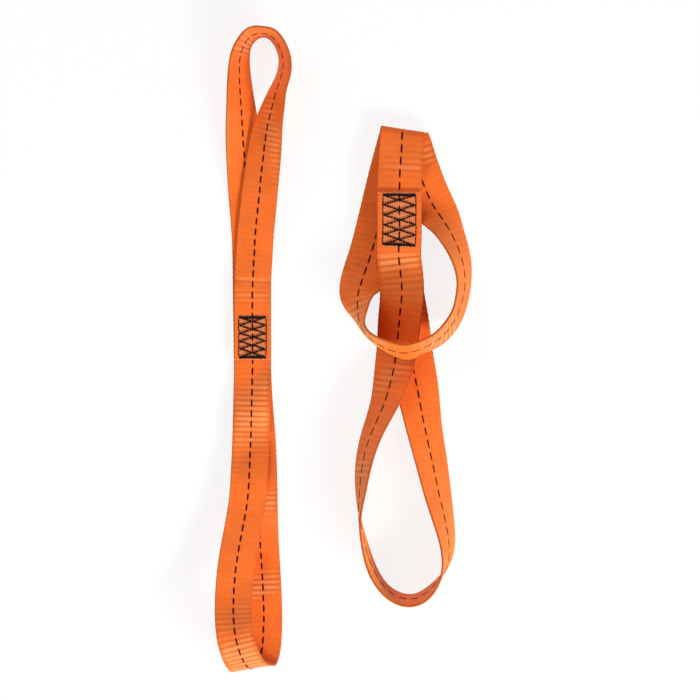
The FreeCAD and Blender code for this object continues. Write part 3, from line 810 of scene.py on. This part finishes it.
HITCHED_ROUTE = [
    # under ply of the seam, then up to the outer bight
    (-0.0005, -0.035, 3, 0.0083, 0, 0), (-0.0005, -0.0245, 3, 0.0085, 0, 0),
    (0, -0.012, 3, 0.0085, 0, 0), (0, 0.003, 3, 0.0085, 0, 0), (0, 0.0185, 3, 0.0085, 0, 0),
    (0.0005, 0.033, 3, 0.0072, 0, 0), (0.0015, 0.0475, 3, 0.0048, 0, 0),
    (0.002, 0.058, 3, 0.0024, -8.8, 0), (0.0025, 0.061, 2, 0.0006, -8.8, 0),
    (0.0015, 0.057, 0, 0.0004, -9, 0),
    # down the left side, turning on edge
    (-0.0015, 0.046, 0, 0, -11, 0), (-0.007, 0.025, 0, 0, -14, 0), (-0.012, 0.004, 0, 0, -14, 1),
    (-0.016, -0.012, 0, 0, -14, 4), (-0.0195, -0.0245, 0, 0, -15, 8),
    (-0.0227, -0.034, 0, 0, -16, 9), (-0.0256, -0.043, 0, 0, -16, 20),
    (-0.0275, -0.0515, 0, 0, -10, 43), (-0.0272, -0.0605, 0, 0, 0, 64),
    # choke band, across both legs
    (-0.0256, -0.0695, 0, 0, 25, 80), (-0.0208, -0.0775, 0, 0.002, 45, 84),
    (-0.0122, -0.0838, 0, 0.0065, 68, 80), (-0.0005, -0.0883, 0, 0.0125, 90, 73),
    (0.009, -0.0878, 0, 0.0166, 95, 73), (0.0185, -0.084, 0, 0.0155, 110, 75),
    (0.0273, -0.0785, 0, 0.0105, 128, 74), (0.0342, -0.071, 0, 0.0055, 140, 74),
    (0.0392, -0.062, 0, 0.002, 155, 74),
    # up the right side to the inner bight
    (0.0422, -0.0515, 0, 0.0005, 170, 73), (0.0435, -0.04, 0, 0, 180, 71),
    (0.0415, -0.0265, 0, 0, 190, 64), (0.0368, -0.014, 0, 0, 205, 56),
    (0.0312, -0.0035, 0, 0, 207, 44), (0.0242, 0.0075, 0, 0.0009, 207, 20),
    (0.0185, 0.0185, 1, 0.0011, 204, 12), (0.0143, 0.029, 2, 0.0005, 202, 10),
    (0.0106, 0.039, 2, 0.0008, 199, 6), (0.0074, 0.0492, 2, 0.0008, 195, 3),
    (0.0054, 0.0542, 2, 0.0007, 190, 1), (0.0048, 0.056, 1, 0.0017, 187, 0),
    (0.0046, 0.0542, 1, 0.0006, 186, 0), (0.0034, 0.048, 1, 0.0003, 185, 0),
    # down under the seam and on to the lower eye
    (0.002, 0.0365, 1, 0.0002, 180, 0), (0.001, 0.0255, 1, 0.0001, 178, 0),
    (0, 0.011, 1, 0.0001, 178, 1), (-0.0005, -0.007, 0, 0.0012, 180, 8),
    (0, -0.0245, 0, 0.0003, 180, 18), (0.0015, -0.04, 0, 0.0002, 180, 23),
    (0.0035, -0.057, 0, 0, 180, 14), (0.006, -0.0745, 0, 0, 180, 3), (0.008, -0.0915, 0, 0, 180, 1),
    (0.011, -0.108, 0, 0, 180, 11), (0.014, -0.125, 0, 0, 180, 26),
    (0.0175, -0.1435, 0, 0, 180, 36), (0.0215, -0.162, 0, 0, 180, 43),
    (0.0255, -0.182, 0, 0, 180, 51), (0.0295, -0.2, 0, 0, 180, 61),
    # lower eye, on edge round its end
    (0.0325, -0.2175, 0, 0, 180, 71), (0.0315, -0.232, 0, 0, 180, 81),
    (0.026, -0.2435, 0, 0, -60, 86), (0.017, -0.2527, 0, 0, -60, 79),
    (0.0065, -0.2561, 0, 0, -90, 77), (-0.0045, -0.2527, 0, 0, -115, 77),
    (-0.013, -0.2445, 0, 0, -140, 78), (-0.0195, -0.2325, 0, 0, -150, 79),
    (-0.024, -0.2175, 0, 0, -165, 83), (-0.0265, -0.2015, 0, 0, 0, 91),
    (-0.026, -0.184, 0, 0, 0, 80), (-0.0245, -0.1675, 0, 0, 0, 71), (-0.0205, -0.15, 0, 0, 0, 64),
    (-0.0145, -0.135, 0, 0, 0, 58), (-0.009, -0.1215, 0, 0, 0, 49),
    # under the choke band and up onto the seam as its face ply
    (-0.0055, -0.109, 0, 0, 0, 39), (-0.0025, -0.0955, 0, 0, 0, 27),
    (-0.001, -0.082, 0, 0.0008, 0, 24), (0, -0.0685, 0, 0.0065, 0, 20),
    (0.0014, -0.0555, 0, 0.0126, 0, 14), (0.0016, -0.044, 4, 0.0081, 0, 7),
    (0.0005, -0.0325, 4, 0.0085, 0, 1), (-0.0005, -0.0215, 4, 0.0085, 0, 0),
    (0, -0.01, 4, 0.0085, 0, 0), (0, 0.0045, 4, 0.0085, 0, 0), (0, 0.0185, 4, 0.0085, 0, 0),
]
HITCHED_DRAPE = [
    # past the seam, the tail and the face ply above it sag together
    (0, 2, -0.04, 0.021, 0.021, -0.0022, 0, 0), (74, 80, -0.04, 0.021, 0.021, -0.0022, 0, 0.25),
    # the ribs stand open on the face ply by the stiff seam, and on the under ply beyond it
    (74, 80, -0.0285, 0.01, 0.01, 0, 0, 0.8), (5, 7, 0.03, 0.02, 0.012, 0, 0.3, 0.4),
    # beside the choke band, where it holds the two legs
    (46, 50, -0.0625, 0.011, 0.011, 0, 0, 1), (70, 74, -0.105, 0.017, 0.014, 0, 0.8, 0.65),
    # at the turn onto the band and at the turn off it
    (15, 19, -0.058, 0.01, 0.012, 0, 0.3, 0.55), (24, 28, -0.075, 0.015, 0.015, 0, 0, 1.1),
    # and at the shoulder of the inner bight and where the lower loop is bent
    (34, 38, 0.041, 0.014, 0.01, 0, 0, 1.1), (66, 70, -0.168, 0.012, 0.012, 0, 0, 0.6),
]

hitched = Sling(HITCHED_ROUTE, HITCHED_WIDTH, HITCHED_SEAM_AT, HITCHED_DRAPE, seed=11)
hitched_join = hitched.distance(HITCHED_JOIN_ROW)
hitched_under = hitched.passes(0, *HITCHED_UNDER_ROWS)
hitched_face = hitched.passes(0, *HITCHED_FACE_ROWS)
hitched_top = webbing("hitched_webbing_top", hitched, 0, hitched_join,
                      [(hitched_under, HITCHED_SEAM, 1)])
hitched_bottom = webbing("hitched_webbing_bottom", hitched, hitched_join, hitched.walked[-1],
                         [(hitched_face, HITCHED_SEAM, -1)])
for piece in (hitched_top, hitched_bottom):
    piece.data.materials.append(orange)
bend_across(hitched_top, "hitched_middle", "hitched_top_loop", HITCHED_HINGE, *HITCHED_BEND)
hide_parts("hitched_under_ply", "hitched_outer_bight", "hitched_choke_band",
            "hitched_inner_bight", "hitched_long_leg")
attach(hitched_bottom, "hitched_middle")
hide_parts("hitched_long_leg", "hitched_lower_eye", "hitched_face_ply")

# ---------------------------------------------------------------- hitched sling, tracer yarn
# The black yarn runs on along the middle of both faces, round the choke and both loops, floating
# over every other rib as on the straight sling.
hitched_tracer_top = tracer("hitched_tracer_top", hitched, 0, hitched_join, seed=8)
hitched_tracer_bottom = tracer("hitched_tracer_bottom", hitched, hitched_join,
                               hitched.walked[-1], seed=9)
for piece in (hitched_tracer_top, hitched_tracer_bottom):
    piece.data.materials.append(black_yarn)
bend_across(hitched_tracer_top, "hitched_middle", "hitched_top_loop", HITCHED_HINGE, *HITCHED_BEND)
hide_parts("hitched_under_ply_tracer", "hitched_outer_bight_tracer",
            "hitched_choke_band_tracer", "hitched_inner_bight_tracer", "hitched_long_leg_tracer")
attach(hitched_tracer_bottom, "hitched_middle")
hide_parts("hitched_long_leg_tracer", "hitched_lower_eye_tracer",
            "hitched_face_ply_tracer")

# ---------------------------------------------------------------- hitched sling, stitching
# The same figure of stitches in the same black bonded thread, a fifth larger with the wider
# webbing. The under ply runs the other way here, so the bobbin side is its other face.
sew("hitched", hitched, "hitched_middle", HITCHED_SEAM,
    (hitched_face, -1), (hitched_under, 1), seed=41)

# ---------------------------------------------------------------- hitched sling, melted ends
# Sealed with a hot knife as on the straight sling, with a few more beads across the wider webbing.
# One end is hidden below the face ply, and one shows at the top of the seam.
melted_end("hitched_under_seal", hitched, "hitched_middle", MELT_INSET, -1, seed=51)
melted_end("hitched_face_seal", hitched, "hitched_middle", hitched.walked[-1] - MELT_INSET, 1,
           seed=52)
